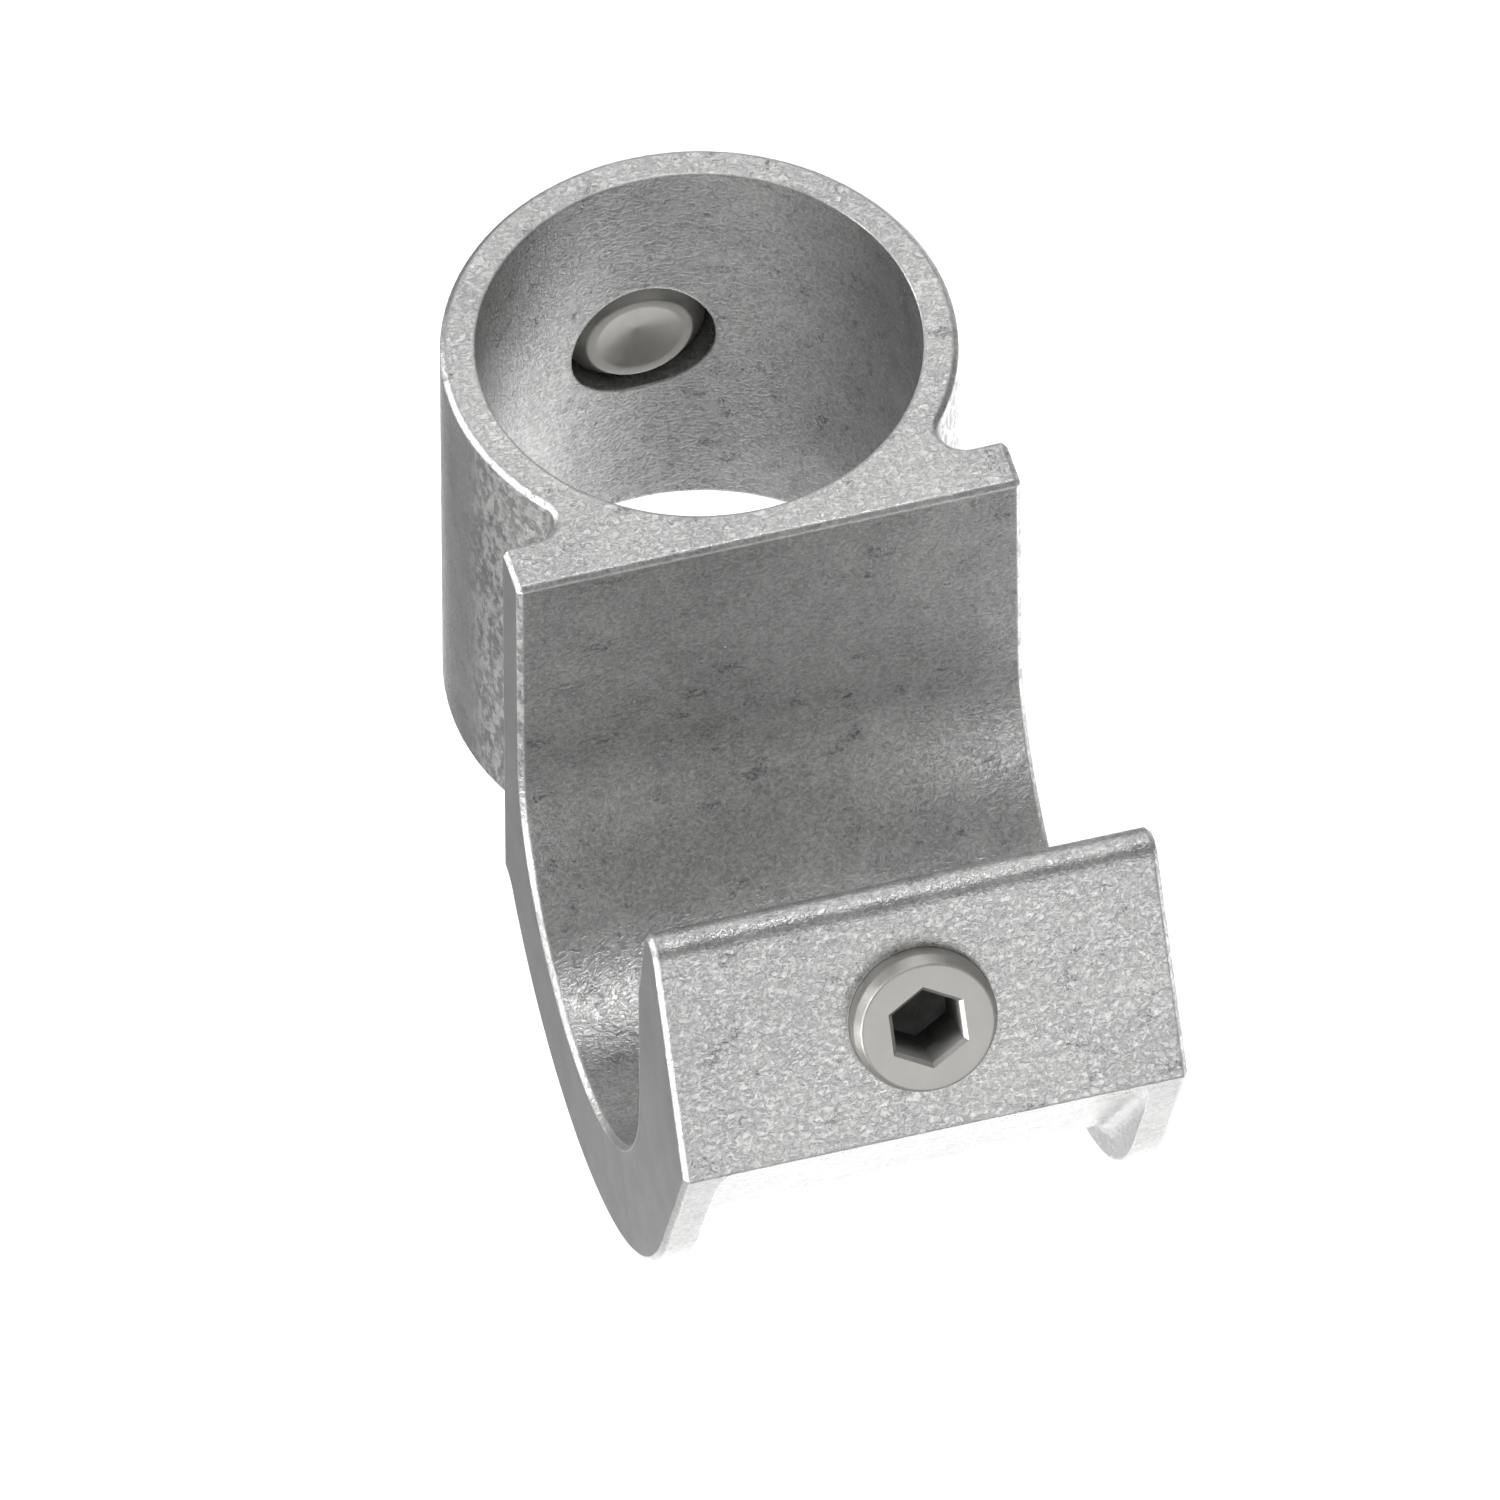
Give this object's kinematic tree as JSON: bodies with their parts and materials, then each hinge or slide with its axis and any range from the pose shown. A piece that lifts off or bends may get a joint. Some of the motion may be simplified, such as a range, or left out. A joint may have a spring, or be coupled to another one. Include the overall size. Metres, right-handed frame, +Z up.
{
  "type": "cross tube connector",
  "caption": "Cast connector with a closed collar for an upright tube and an open hook that clamps a rail tube across it by set screw.",
  "frame": {"origin": "on the upright bore's axis, level with the rail's axis", "axes": "+Z up along the upright's bore, +X along the rail, -Y from the upright towards the rail and the clamping plate"},
  "size_m": [0.0584, 0.1386, 0.0698],
  "materials": {
    "galvanised_casting": "hot-dip galvanised: light grey, satin, with a fine grainy zinc skin",
    "set_screws": "satin plated steel, a little warmer than the casting"
  },
  "bodies": {
    "body": {"clamp_body": "galvanised_casting"},
    "rail_screw": {"rail_set_screw": "set_screws"},
    "post_screw": {"post_set_screw": "set_screws"}
  },
  "joints": [
    {"name": "rail_screw_travel", "type": "slide", "parent": "body", "child": "rail_screw", "axis": [0, -0.8973, 0.4415], "range_m": [-0.003, 0.006]},
    {"name": "post_screw_travel", "type": "slide", "parent": "body", "child": "post_screw", "axis": [0, 1, 0], "range_m": [-0.003, 0.006]}
  ]
}
